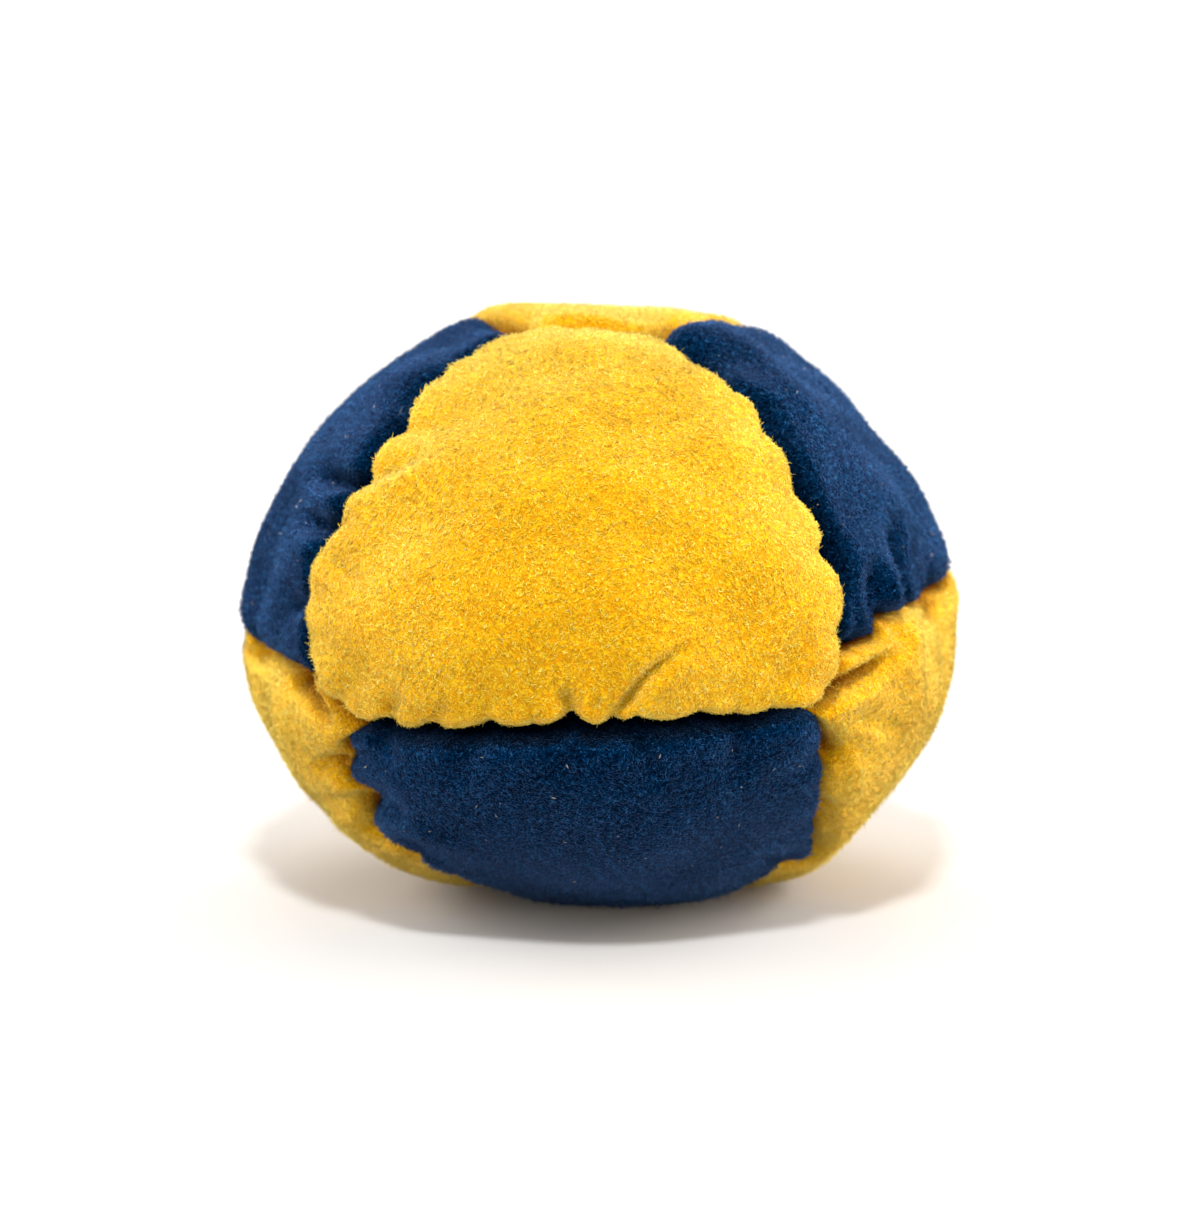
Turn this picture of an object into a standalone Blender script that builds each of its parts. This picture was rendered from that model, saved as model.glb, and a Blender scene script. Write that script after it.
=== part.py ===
"""Footbag at rest on a flat surface.

Eight suede panels are sewn edge to edge into a plump ball that is packed with loose pellets.
Four yellow panels are triangles with cut corners. They touch one another along six short seams.
Four navy panels are plain triangles. Their twelve long seams run along the long yellow sides.
Every panel is one sheet whose edge is turned into the ball as a seam allowance.
An overcast thread binds each pair of turned edges on the inside.

The origin is under the middle of the ball, on the surface that it rests on, and +Z points up.
The front panel faces -Y. All lengths are in metres.
"""

import math

import bmesh
import bpy
from mathutils import Vector

# Outer size of the stuffed ball
BAG_WIDTH = 0.0575
BAG_DEPTH = 0.0575
BAG_HEIGHT = 0.048
FLAT_DEPTH = 0.0015

# Suede and seams
SUEDE_THICKNESS = 0.0008
SEAM_DEPTH = 0.0022
SHOULDER_RADIUS = 0.0022
SEAM_ALLOWANCE = 0.0024
GATHER_PITCH = 0.0041
GATHER_DEPTH = 0.0004
CROWN_HEIGHT = 0.002
CLEARANCE = 0.0003

# Sewing thread
THREAD_DIAMETER = 0.0005
STITCH_CLIMB = 0.0009
STITCH_SPREAD = 0.0007

# Pellet mass
PELLET_MARGIN = 0.0003
MERGE_DISTANCE = 0.00001

# Where three panels meet, as shares of the ball's half width, half depth and half height
JUNCTION_SHARES = {
    "front_top_left": (-0.254, -0.249, 0.934),
    "front_top_right": (0.251, -0.321, 0.913),
    "front_right_upper": (0.671, -0.739, 0.067),
    "front_right_lower": (0.600, -0.788, -0.135),
    "front_left_upper": (-0.773, -0.631, -0.062),
    "front_left_lower": (-0.662, -0.723, -0.197),
    "top_left_upper": (-0.777, 0.594, 0.209),
    "top_left_lower": (-0.621, 0.784, 0.016),
    "top_right_upper": (0.777, 0.594, 0.209),
    "top_right_lower": (0.621, 0.784, 0.016),
    "under_front": (0.0, 0.0, -1.0),
    "under_back": (0.0, 0.314, -0.949),
}

# Each panel's corners, counter-clockwise as seen from outside
YELLOW_PANELS = {
    "front_panel": (
        "front_top_right",
        "front_top_left",
        "front_left_upper",
        "front_left_lower",
        "front_right_lower",
        "front_right_upper",
    ),
    "top_panel": (
        "front_top_left",
        "front_top_right",
        "top_right_upper",
        "top_right_lower",
        "top_left_lower",
        "top_left_upper",
    ),
    "left_panel": (
        "front_left_upper",
        "top_left_upper",
        "top_left_lower",
        "under_back",
        "under_front",
        "front_left_lower",
    ),
    "right_panel": (
        "front_right_lower",
        "under_front",
        "under_back",
        "top_right_lower",
        "top_right_upper",
        "front_right_upper",
    ),
}
NAVY_PANELS = {
    "upper_left_panel": ("front_top_left", "top_left_upper", "front_left_upper"),
    "upper_right_panel": ("front_top_right", "front_right_upper", "top_right_upper"),
    "lower_front_panel": ("front_left_lower", "under_front", "front_right_lower"),
    "back_panel": ("top_left_lower", "top_right_lower", "under_back"),
}

# How far the middle of each panel swells past the ball, as a share of the crown height
CROWN_SHARES = {
    "front_panel": 0.6,
    "top_panel": -0.3,
    "left_panel": 0.35,
    "right_panel": 0.45,
    "upper_left_panel": -0.4,
    "upper_right_panel": -0.4,
    "lower_front_panel": 0.15,
    "back_panel": 0.4,
}

# How far the shoulder of a panel stands above its neighbours, as a share of the crown height
LAP_SHARES = {"front_panel": 0.25}

# Where the packed pellets lift the skin off the even ball: direction, height as a share of the
# crown height, and spread as a share of a right angle
SKIN_LIFT_SHARES = (
    ((-0.38, 0.46, 0.80), 0.45, 0.144),
    ((0.0, 0.81, 0.59), 0.35, 0.267),
)

# Rings of a panel between its shoulder and its middle: share of the way in, share of the crown
FIELD_RING_SHARES = ((0.34, 0.75), (0.68, 0.95))

# Stations along a seam: two for each gather on a panel's edge, a third as many further in
STATIONS_PER_GATHER = 2
EDGE_TO_FIELD = 3

YELLOW = (0.93, 0.60, 0.05, 1.0)
NAVY = (0.02, 0.06, 0.14, 1.0)
THREAD_GREY = (0.55, 0.53, 0.48, 1.0)
PELLET_WHITE = (0.80, 0.80, 0.78, 1.0)
SUEDE_ROUGHNESS = 0.95
THREAD_ROUGHNESS = 0.7
PELLET_ROUGHNESS = 0.4

HALF_SIZES = Vector((BAG_WIDTH / 2, BAG_DEPTH / 2, (BAG_HEIGHT + FLAT_DEPTH) / 2))
BAG_CENTRE = Vector((0, 0, HALF_SIZES.z - FLAT_DEPTH))
THREAD_RADIUS = THREAD_DIAMETER / 2
EDGE_LATERAL = CLEARANCE / 2
RAW_EDGE_DEPTH = SEAM_DEPTH + SEAM_ALLOWANCE
THREAD_LATERAL = EDGE_LATERAL + SUEDE_THICKNESS + CLEARANCE + THREAD_RADIUS
THREAD_DEPTH = RAW_EDGE_DEPTH + CLEARANCE + THREAD_RADIUS


def clear_scene():
    for obj in list(bpy.data.objects):
        bpy.data.objects.remove(obj, do_unlink=True)


def plain_material(name, colour, roughness):
    material = bpy.data.materials.new(name)
    material.use_nodes = True
    shader = material.node_tree.nodes["Principled BSDF"]
    shader.inputs["Base Color"].default_value = colour
    shader.inputs["Roughness"].default_value = roughness
    shader.inputs["Metallic"].default_value = 0.0
    return material


def skin_distance(direction):
    """From the ball's centre to its outer skin along a unit direction."""
    distance = 1 / math.sqrt(sum((part / half) ** 2 for part, half in zip(direction, HALF_SIZES)))
    for summit, height_share, spread_share in SKIN_LIFT_SHARES:
        away = direction.angle(Vector(summit)) / (spread_share * math.pi / 2)
        distance += CROWN_HEIGHT * height_share * math.exp(-(away**2))
    return distance


def junction(name):
    shares = JUNCTION_SHARES[name]
    return Vector([share * half for share, half in zip(shares, HALF_SIZES)]).normalized()


def inward_normal(start, end):
    """Normal of the seam plane through two junctions, towards a panel that has them in this order."""
    return start.cross(end).normalized()


def at_depth(along, normal, lateral, depth):
    """The point over the unit vector along that lies a lateral distance off the seam plane."""
    aim = (along * skin_distance(along) + normal * lateral).normalized()
    reach = skin_distance(aim) - depth
    return along * math.sqrt(reach**2 - lateral**2) + normal * lateral


def corner_point(before, corner, after, lateral, depth):
    """Where two neighbouring sides of a panel meet, both set in from their seam planes."""
    first = inward_normal(before, corner)
    second = inward_normal(corner, after)
    inset = (first + second) * (lateral / (1 + first.dot(second)))
    reach = skin_distance(corner) - depth
    return corner * math.sqrt(reach**2 - inset.length_squared) + inset


def side_gathers(start, end):
    """How many gathers fit along a seam."""
    length = start.angle(end) * (skin_distance(start) + skin_distance(end)) / 2
    return max(2, round(length / GATHER_PITCH))


def side_stations(start, end, coarse):
    """Points along one side of a panel: the coarse ones serve the field and the pellet mass."""
    fine = STATIONS_PER_GATHER * side_gathers(start, end)
    return max(2, round(fine / EDGE_TO_FIELD)) if coarse else fine


def panel_ring(corners, lateral, depth, stitch_depth=0.0, coarse=False):
    """A closed ring of points round a panel, set in from its seams and down from the skin.

    The stitches draw every second point down by the stitch depth.
    """
    points = []
    count = len(corners)
    for index, start in enumerate(corners):
        end = corners[(index + 1) % count]
        before = corners[index - 1]
        after = corners[(index + 2) % count]
        normal = inward_normal(start, end)
        first = corner_point(before, start, end, lateral, depth + stitch_depth)
        last = corner_point(start, end, after, lateral, depth + stitch_depth)
        first_flat = (first - normal * lateral).normalized()
        last_flat = (last - normal * lateral).normalized()
        points.append(first)
        stations = side_stations(start, end, coarse)
        for station in range(1, stations):
            along = first_flat.slerp(last_flat, station / stations)
            drawn = stitch_depth if station % STATIONS_PER_GATHER == 0 else 0.0
            points.append(at_depth(along, normal, lateral, depth + drawn))
    return points


def field_ring(corners, lateral, depth, inward_share, rise):
    """A ring further in: part of the way to the panel's middle, raised by the crown."""
    middle = panel_middle(corners)
    ring = []
    for point in panel_ring(corners, lateral, depth, coarse=True):
        aim = point.normalized().slerp(middle, inward_share)
        ring.append(aim * (skin_distance(aim) - depth + rise))
    return ring


def panel_middle(corners):
    return sum(corners, Vector()).normalized()


def add_ring(bm, points):
    verts = [bm.verts.new(BAG_CENTRE + point) for point in points]
    for index, vert in enumerate(verts):
        bm.edges.new((verts[index - 1], vert))
    return verts


def extrude_ring(bm, ring, points):
    """A new ring of as many points, joined to the last by a band of quads."""
    edges = [bm.edges.get((ring[index - 1], vert)) for index, vert in enumerate(ring)]
    made = bmesh.ops.extrude_edge_only(bm, edges=edges)["geom"]
    fresh = {item for item in made if isinstance(item, bmesh.types.BMVert)}
    moved = []
    for vert, point in zip(ring, points):
        partner = next(
            edge.other_vert(vert) for edge in vert.link_edges if edge.other_vert(vert) in fresh
        )
        partner.co = BAG_CENTRE + point
        moved.append(partner)
    return moved


def bridge_ring(bm, ring, points):
    """A new ring with its own number of points, joined to the last by bridging."""
    inner = add_ring(bm, points)
    loops = []
    for verts in (ring, inner):
        loops += [bm.edges.get((verts[index - 1], vert)) for index, vert in enumerate(verts)]
    bmesh.ops.bridge_loops(bm, edges=loops)
    return inner


def close_middle(bm, ring, middle):
    """A fan of triangles from the innermost ring to the panel's middle."""
    face = bm.faces.new(ring)
    centre = bmesh.ops.poke(bm, faces=[face])["verts"][0]
    centre.co = BAG_CENTRE + middle


def face_outward(bm):
    """Turns an open sheet so that its faces look away from the ball's centre."""
    bmesh.ops.recalc_face_normals(bm, faces=bm.faces)
    outward = sum(
        face.normal.dot(face.calc_center_median() - BAG_CENTRE) * face.calc_area()
        for face in bm.faces
    )
    if outward < 0:
        bmesh.ops.reverse_faces(bm, faces=bm.faces)


def flatten_underside(bm, floor):
    """Presses what lies below a height flat onto it, with a clean edge round the flat."""
    parts = bm.verts[:] + bm.edges[:] + bm.faces[:]
    bmesh.ops.bisect_plane(bm, geom=parts, plane_co=(0, 0, floor), plane_no=(0, 0, 1))
    for vert in bm.verts:
        vert.co.z = max(vert.co.z, floor)


def new_object(name, bm, material, parent):
    mesh = bpy.data.meshes.new(name)
    bm.to_mesh(mesh)
    bm.free()
    mesh.shade_smooth()
    mesh.materials.append(material)
    obj = bpy.data.objects.new(name, mesh)
    obj.parent = parent
    bpy.context.scene.collection.objects.link(obj)
    return obj


def panel_sheet(corners, crown, lap):
    """One suede panel's outer face: turned edge, crease, rounded shoulder and swollen field."""
    half_turn = math.radians(45)
    turn_lateral = EDGE_LATERAL + SHOULDER_RADIUS * (1 - math.cos(half_turn))
    turn_depth = SEAM_DEPTH * (1 - math.sin(half_turn))
    shoulder_lateral = EDGE_LATERAL + SHOULDER_RADIUS
    bm = bmesh.new()
    ring = add_ring(bm, panel_ring(corners, EDGE_LATERAL, RAW_EDGE_DEPTH))
    ring = extrude_ring(bm, ring, panel_ring(corners, EDGE_LATERAL, SEAM_DEPTH))
    turn_depth -= lap / 2
    ring = extrude_ring(bm, ring, panel_ring(corners, turn_lateral, turn_depth, GATHER_DEPTH))
    ring = extrude_ring(bm, ring, panel_ring(corners, shoulder_lateral, -lap, GATHER_DEPTH / 2))
    for inward_share, crown_share in FIELD_RING_SHARES:
        rise = crown * crown_share
        points = field_ring(corners, shoulder_lateral, 0.0, inward_share, rise)
        ring = bridge_ring(bm, ring, points)
    middle = panel_middle(corners)
    close_middle(bm, ring, middle * (skin_distance(middle) + crown))
    face_outward(bm)
    flatten_underside(bm, 0.0)
    return bm


def add_panel(name, corner_names, material, parent):
    corners = [junction(corner) for corner in corner_names]
    lap = CROWN_HEIGHT * LAP_SHARES.get(name, 0.0)
    bm = panel_sheet(corners, CROWN_HEIGHT * CROWN_SHARES[name], lap)
    obj = new_object(name, bm, material, parent)
    wall = obj.modifiers.new("Suede thickness", "SOLIDIFY")
    wall.thickness = SUEDE_THICKNESS
    wall.offset = -1
    wall.use_even_offset = True
    wall.use_quality_normals = True
    return obj


def panel_sides(corner_names):
    """The sides of a panel, each as its first and last corner."""
    return list(zip(corner_names, corner_names[1:] + corner_names[:1]))


def panel_seams():
    """Each seam once, named for the two panels that it joins, with its end corners."""
    seams = {}
    panels = list({**YELLOW_PANELS, **NAVY_PANELS}.items())
    for index, (name, corner_names) in enumerate(panels):
        for other_name, other_corners in panels[index + 1 :]:
            for start, end in panel_sides(corner_names):
                if (end, start) in panel_sides(other_corners):
                    first = name.removesuffix("_panel")
                    second = other_name.removesuffix("_panel")
                    seams[f"thread_{first}_to_{second}"] = (start, end)
    return seams


def sharpest_corner(seam, seams):
    """The smallest angle between a seam and the seams that it meets at either end."""
    angles = []
    for corner, other in (seam, seam[::-1]):
        here = junction(corner)
        ends = {name for pair in seams for name in pair if corner in pair} - {corner, other}
        own = here.cross(junction(other))
        angles += [own.angle(here.cross(junction(name))) for name in sorted(ends)]
    return min(angles)


def stitch_points(seam, seams):
    """The overcast route: each stitch climbs one turned edge, and the next climbs the other."""
    start, end = (junction(name) for name in seam)
    low = min(skin_distance(start), skin_distance(end)) - THREAD_DEPTH
    half_width = THREAD_LATERAL + THREAD_RADIUS + CLEARANCE
    margin = half_width / math.tan(sharpest_corner(seam, seams) / 2) + STITCH_SPREAD
    whole = start.angle(end)
    end_angle = min(margin / low, whole / 3)
    spread_angle = min(STITCH_SPREAD / low, whole / 12)
    normal = inward_normal(start, end)
    stitches = side_gathers(start, end)
    points = []
    for stitch in range(stitches):
        side = 1 if stitch % 2 == 0 else -1
        middle = end_angle + (whole - 2 * end_angle) * stitch / (stitches - 1)
        for shift, climb in ((-spread_angle, 0.0), (0.0, STITCH_CLIMB), (spread_angle, 0.0)):
            along = start.slerp(end, (middle + shift) / whole)
            points.append(at_depth(along, normal, side * THREAD_LATERAL, THREAD_DEPTH - climb))
    return points


def add_thread(name, points, material, parent):
    curve = bpy.data.curves.new(name, "CURVE")
    curve.dimensions = "3D"
    curve.bevel_depth = THREAD_RADIUS
    curve.bevel_resolution = 0
    curve.use_fill_caps = True
    spline = curve.splines.new("POLY")
    spline.points.add(len(points) - 1)
    for knot, point in zip(spline.points, points):
        knot.co = (*(BAG_CENTRE + point), 1)
    spline.use_smooth = True
    curve.materials.append(material)
    obj = bpy.data.objects.new(name, curve)
    obj.parent = parent
    bpy.context.scene.collection.objects.link(obj)
    return obj


def add_pellet_fill(material, parent):
    """The packed pellets as one body: full in the fields, drawn in below the threads."""
    seam_floor = THREAD_DEPTH + THREAD_RADIUS + CLEARANCE
    wall_lateral = THREAD_LATERAL + THREAD_RADIUS + CLEARANCE
    lip_lateral = EDGE_LATERAL + SHOULDER_RADIUS + SUEDE_THICKNESS
    lip_depth = SUEDE_THICKNESS + GATHER_DEPTH + CLEARANCE + PELLET_MARGIN
    field_depth = SUEDE_THICKNESS + CLEARANCE + PELLET_MARGIN
    bm = bmesh.new()
    for name, corner_names in {**YELLOW_PANELS, **NAVY_PANELS}.items():
        corners = [junction(corner) for corner in corner_names]
        crown = CROWN_HEIGHT * CROWN_SHARES[name]
        ring = add_ring(bm, panel_ring(corners, 0.0, seam_floor, coarse=True))
        ring = extrude_ring(bm, ring, panel_ring(corners, wall_lateral, seam_floor, coarse=True))
        ring = extrude_ring(bm, ring, panel_ring(corners, lip_lateral, lip_depth, coarse=True))
        for inward_share, crown_share in FIELD_RING_SHARES:
            rise = crown * crown_share
            points = field_ring(corners, lip_lateral, field_depth, inward_share, rise)
            ring = extrude_ring(bm, ring, points)
        middle = panel_middle(corners)
        close_middle(bm, ring, middle * (skin_distance(middle) + crown - field_depth))
    bmesh.ops.remove_doubles(bm, verts=bm.verts, dist=MERGE_DISTANCE)
    bmesh.ops.recalc_face_normals(bm, faces=bm.faces)
    flatten_underside(bm, field_depth)
    return new_object("pellet_fill", bm, material, parent)


def build_footbag():
    clear_scene()
    footbag = bpy.data.objects.new("footbag", None)
    bpy.context.scene.collection.objects.link(footbag)
    for name, corner_names in YELLOW_PANELS.items():
        suede = plain_material(f"yellow_suede_{name}", YELLOW, SUEDE_ROUGHNESS)
        add_panel(name, corner_names, suede, footbag)
    for name, corner_names in NAVY_PANELS.items():
        suede = plain_material(f"navy_suede_{name}", NAVY, SUEDE_ROUGHNESS)
        add_panel(name, corner_names, suede, footbag)
    seams = panel_seams()
    for name, seam in seams.items():
        cord = plain_material(f"polyester_{name}", THREAD_GREY, THREAD_ROUGHNESS)
        add_thread(name, stitch_points(seam, seams.values()), cord, footbag)
    pellets = plain_material("pellets", PELLET_WHITE, PELLET_ROUGHNESS)
    add_pellet_fill(pellets, footbag)


build_footbag()
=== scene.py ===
"""A stitched suede footbag at rest: eight napped panels, their turned seams and the fill."""

import math

import bmesh
import bpy
import numpy as np
from mathutils import Euler, Matrix, Vector


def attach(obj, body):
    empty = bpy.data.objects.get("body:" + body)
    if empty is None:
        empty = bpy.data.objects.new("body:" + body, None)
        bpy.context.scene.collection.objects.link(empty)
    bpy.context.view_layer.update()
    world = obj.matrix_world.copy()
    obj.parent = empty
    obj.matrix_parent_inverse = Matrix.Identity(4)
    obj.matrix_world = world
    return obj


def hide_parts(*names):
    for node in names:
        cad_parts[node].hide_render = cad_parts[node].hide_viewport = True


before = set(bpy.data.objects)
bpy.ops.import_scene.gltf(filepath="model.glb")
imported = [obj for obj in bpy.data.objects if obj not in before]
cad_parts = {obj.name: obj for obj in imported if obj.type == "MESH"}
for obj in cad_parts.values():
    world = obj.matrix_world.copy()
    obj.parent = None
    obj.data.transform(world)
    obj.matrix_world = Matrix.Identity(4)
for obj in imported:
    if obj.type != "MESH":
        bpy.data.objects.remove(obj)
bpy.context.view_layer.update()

# Size of the stuffed ball, in metres, as the solids have it
BAG_WIDTH = 0.0575
BAG_DEPTH = 0.0575
BAG_HEIGHT = 0.048
FLAT_DEPTH = 0.0015
SUEDE_THICKNESS = 0.0008
SEAM_DEPTH = 0.0022
SEAM_ALLOWANCE = 0.0024
CROWN_HEIGHT = 0.002
HALF_SIZES = np.array([BAG_WIDTH, BAG_DEPTH, BAG_HEIGHT + FLAT_DEPTH]) / 2
BAG_CENTRE = np.array([0.0, 0.0, HALF_SIZES[2] - FLAT_DEPTH])

# Where three panels meet, as shares of the ball's half width, half depth and half height
JUNCTION_SHARES = {
    "front_top_left": (-0.254, -0.249, 0.934),
    "front_top_right": (0.251, -0.321, 0.913),
    "front_right_upper": (0.671, -0.739, 0.067),
    "front_right_lower": (0.600, -0.788, -0.135),
    "front_left_upper": (-0.773, -0.631, -0.062),
    "front_left_lower": (-0.662, -0.723, -0.197),
    "top_left_upper": (-0.777, 0.594, 0.209),
    "top_left_lower": (-0.621, 0.784, 0.016),
    "top_right_upper": (0.777, 0.594, 0.209),
    "top_right_lower": (0.621, 0.784, 0.016),
    "under_front": (0.0, 0.0, -1.0),
    "under_back": (0.0, 0.314, -0.949),
}

# Each panel's corners, counter-clockwise as seen from outside
YELLOW_PANELS = {
    "front_panel": (
        "front_top_right", "front_top_left", "front_left_upper",
        "front_left_lower", "front_right_lower", "front_right_upper",
    ),
    "top_panel": (
        "front_top_left", "front_top_right", "top_right_upper",
        "top_right_lower", "top_left_lower", "top_left_upper",
    ),
    "left_panel": (
        "front_left_upper", "top_left_upper", "top_left_lower",
        "under_back", "under_front", "front_left_lower",
    ),
    "right_panel": (
        "front_right_lower", "under_front", "under_back",
        "top_right_lower", "top_right_upper", "front_right_upper",
    ),
}
NAVY_PANELS = {
    "upper_left_panel": ("front_top_left", "top_left_upper", "front_left_upper"),
    "upper_right_panel": ("front_top_right", "front_right_upper", "top_right_upper"),
    "lower_front_panel": ("front_left_lower", "under_front", "front_right_lower"),
    "back_panel": ("top_left_lower", "top_right_lower", "under_back"),
}
# Each panel's share of the crown, the radius of its rolled edge, and its rank: it laps over
# its neighbours of a lower rank
PANEL_FORMS = {
    "front_panel": (0.5, 0.0012, 3),
    "top_panel": (-0.2, 0.0014, 1),
    "left_panel": (0.4, 0.0010, 1),
    "right_panel": (0.4, 0.0011, 1),
    "upper_left_panel": (-0.2, 0.0022, 2),
    "upper_right_panel": (-0.1, 0.0022, 2),
    "lower_front_panel": (0.1, 0.0019, 2),
    "back_panel": (0.5, 0.0024, 0),
}

# Sewn edge: spacing of the hand stitches and what they do to the suede
STITCH_PITCH = 0.0038
LONGEST_LOBE = 0.0065
EDGE_REACH = 0.0045
LOBE_OVERHANG = 0.0008
# A traced seam already follows its own lobes, so little is added to them
TRACED_LOBE_SHARE = 0.12
PLAIN_STITCH = (0.05, 0.4)
NOTCH_PULL = 0.0004
NOTCH_WIDTH = 0.0004
LOBE_RISE = 0.0003
# How deep and how far in the suede dips where it runs under a neighbour: on the sides, and
# beside the front panel
SIDE_SINK = (0.0008, 0.0024)
FRONT_SINKS = {
    "top_panel": (0.0014, 0.0020),
    "left_panel": (0.0007, 0.0012),
    "right_panel": (0.0010, 0.0012),
    "upper_left_panel": (0.0016, 0.0018),
    "upper_right_panel": (0.0014, 0.0016),
    "lower_front_panel": (0.0032, 0.0016),
}
SINK_STEEPNESS = 3.5
# Gathers that fan out from the stitches into the panel
GATHER_DEPTH = 0.00034
GATHER_WIDTH = 0.0005
GATHER_LENGTHS = (0.003, 0.0085)
EDGE_GAP = 0.00008
# How much one stitch, lobe or gather differs from the next
SEAM_SEED = 11
JUNCTION_PULL = 0.6
STITCH_STEPS = (0.6, 1.5)
STITCH_PULLS = (0.45, 1.35)
LOBE_SIZES = (0.5, 1.3)
LOBE_ROUNDNESS = 0.7
GATHER_LEAN = 0.5
GATHER_FADE = 1.4
# Crown: how fast it rises from the seams, and how far its corners are rounded
CROWN_RISE = 2.5
CROWN_CORNER = 4.0
LEAST_OFF = 0.0003

# Camera: the photograph's frame and view
FRAME_WIDTH = 1200
FRAME_HEIGHT = 1210
SENSOR_WIDTH = 36.0
FOCAL_PIXELS = 6153.0
CAMERA_DISTANCE = 0.5
NEAREST_VIEW = 0.01
CAMERA_ELEVATION = math.radians(12)
BAG_CENTRE_PIXEL = (598.0, 604.0)
FOCUS_DISTANCE = 0.474
APERTURE = 32

# Photograph pixels of the junctions in view; the others keep their shares
JUNCTION_PIXELS = {
    "front_top_left": (530, 326),
    "front_top_right": (658, 329),
    "front_right_upper": (843, 652),
    "front_right_lower": (803, 706),
    "front_left_upper": (316, 686),
    "front_left_lower": (357, 727),
}
# Each seam between its junctions: photograph pixels, or shares of the ball where it is hidden
SEAM_TRACES = {
    ("front_top_left", "front_left_upper"): (
        (508, 330), (490, 335), (475, 343), (464, 350), (455, 359), (445, 367), (436, 376),
        (426, 383), (419, 393), (413, 404), (406, 415), (400, 426), (389, 433), (379, 441),
        (371, 451), (364, 462), (359, 473), (358, 481), (346, 494), (341, 505), (339, 518),
        (335, 530), (327, 540), (318, 549), (310, 559), (307, 571), (305, 583), (304, 596),
        (302, 608), (301, 621), (300, 633), (300, 646), (303, 658), (309, 671),
    ),
    ("front_right_upper", "front_top_right"): (
        (844, 640), (844, 629), (847, 617), (850, 605), (850, 593), (847, 581), (841, 570),
        (835, 558), (831, 547), (833, 534), (828, 522), (822, 511), (814, 502), (806, 492),
        (801, 481), (798, 468), (793, 457), (786, 446), (775, 440), (768, 430), (764, 418),
        (758, 406), (750, 397), (738, 391), (729, 382), (719, 375), (709, 368), (698, 360),
        (689, 352), (677, 345),
    ),
    ("front_left_lower", "front_right_lower"): (
        (372, 719), (389, 727), (400, 732), (413, 732), (425, 730), (437, 732), (450, 734),
        (463, 733), (476, 731), (488, 730), (501, 731), (513, 732), (526, 733), (538, 732),
        (551, 728), (563, 724), (573, 723), (588, 728), (600, 730), (613, 728), (625, 725),
        (637, 723), (650, 723), (663, 726), (675, 725), (688, 724), (701, 720), (713, 719),
        (726, 721), (739, 722), (752, 721), (764, 719), (776, 714), (788, 709),
    ),
    ("front_left_upper", "front_left_lower"): ((322, 698), (333, 708), (345, 717)),
    ("front_right_lower", "front_right_upper"): (
        (815, 703), (826, 698), (834, 690), (839, 680), (841, 666),
    ),
    ("front_top_right", "front_top_left"): (
        (646, 325), (628, 321), (603, 320), (575, 321), (548, 323),
    ),
    ("front_left_upper", "top_left_upper"): (
        (298, 679), (285, 674), (271, 667), (258, 661), (248, 650), (242, 636), (240, 622),
        (-0.995, 0.08, 0.03), (-0.93, 0.34, 0.12),
    ),
    ("top_right_upper", "front_right_upper"): (
        (0.92, 0.35, 0.17), (0.985, 0.1, 0.135), (951, 566), (951, 580), (948, 591),
        (941, 599), (932, 604), (922, 607), (910, 610), (898, 614), (892, 622), (889, 633),
        (882, 637), (875, 641), (866, 648),
    ),
    ("under_front", "front_left_lower"): (
        (-0.2, -0.12, -0.97), (457, 883), (439, 874), (420, 863), (411, 855), (407, 846),
        (397, 840), (385, 837), (372, 832), (365, 824), (363, 813), (364, 804), (358, 795),
        (344, 784), (337, 774), (341, 764), (341, 756), (337, 748), (333, 741),
    ),
    ("front_right_lower", "under_front"): (
        (824, 720), (830, 732), (831, 752), (829, 775), (826, 798), (821, 816), (818, 842),
        (806, 855), (805, 866), (790, 876), (764, 889), (0.22, -0.12, -0.97),
    ),
    ("front_top_left", "top_left_upper"): (
        (512, 325), (496, 318), (480, 312), (-0.40, 0.27, 0.875), (-0.62, 0.34, 0.707),
        (-0.74, 0.46, 0.49),
    ),
    ("top_right_upper", "front_top_right"): (
        (0.74, 0.46, 0.49), (0.62, 0.34, 0.707), (0.46, 0.27, 0.846), (718, 317), (694, 317),
        (674, 322),
    ),
}
# Stitches that the photograph shows pulling in, with their strength; the rest are drawn
SEAM_STITCHES = {
    ("front_top_left", "front_left_upper"): (
        (470, 347, 0.5), (440, 372, 0.7), (400, 426, 1.0), (359, 480, 1.6), (336, 527, 1.0),
        (304, 590, 0.5), (301, 628, 0.5),
    ),
    ("front_right_upper", "front_top_right"): (
        (845, 624, 1.2), (832, 549, 1.3), (806, 491, 0.9), (770, 434, 1.1), (738, 391, 0.5),
        (698, 360, 0.6),
    ),
    ("front_left_lower", "front_right_lower"): (
        (384, 724, 1.2), (428, 730, 0.8), (494, 730, 0.8), (571, 723, 1.5), (612, 728, 0.7),
        (643, 723, 1.0), (703, 719, 0.9), (776, 714, 0.5),
    ),
    ("front_left_upper", "front_left_lower"): ((333, 708, 0.8),),
    ("front_right_lower", "front_right_upper"): ((833, 692, 1.0),),
    ("front_top_right", "front_top_left"): ((590, 328, 0.4), (535, 328, 0.8)),
    ("front_left_upper", "top_left_upper"): ((281, 672, 0.9), (251, 653, 1.3)),
    ("top_right_upper", "front_right_upper"): (
        (950, 584, 1.2), (926, 606, 1.2), (886, 615, 1.6), (856, 639, 0.8),
    ),
    ("under_front", "front_left_lower"): (
        (436, 872, 0.8), (403, 842, 1.3), (363, 806, 0.8), (341, 758, 0.8),
    ),
    ("front_right_lower", "under_front"): (
        (831, 752, 1.3), (821, 816, 1.3), (806, 858, 1.6), (784, 879, 0.6),
    ),
}
PULL_REACHES = (0.018, 0.009, 0.004)
FIELD_SLACK = 0.03
OUTLINE_REACH = 0.020
OUTLINE_TURNS = (0.28, 0.65)

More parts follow.
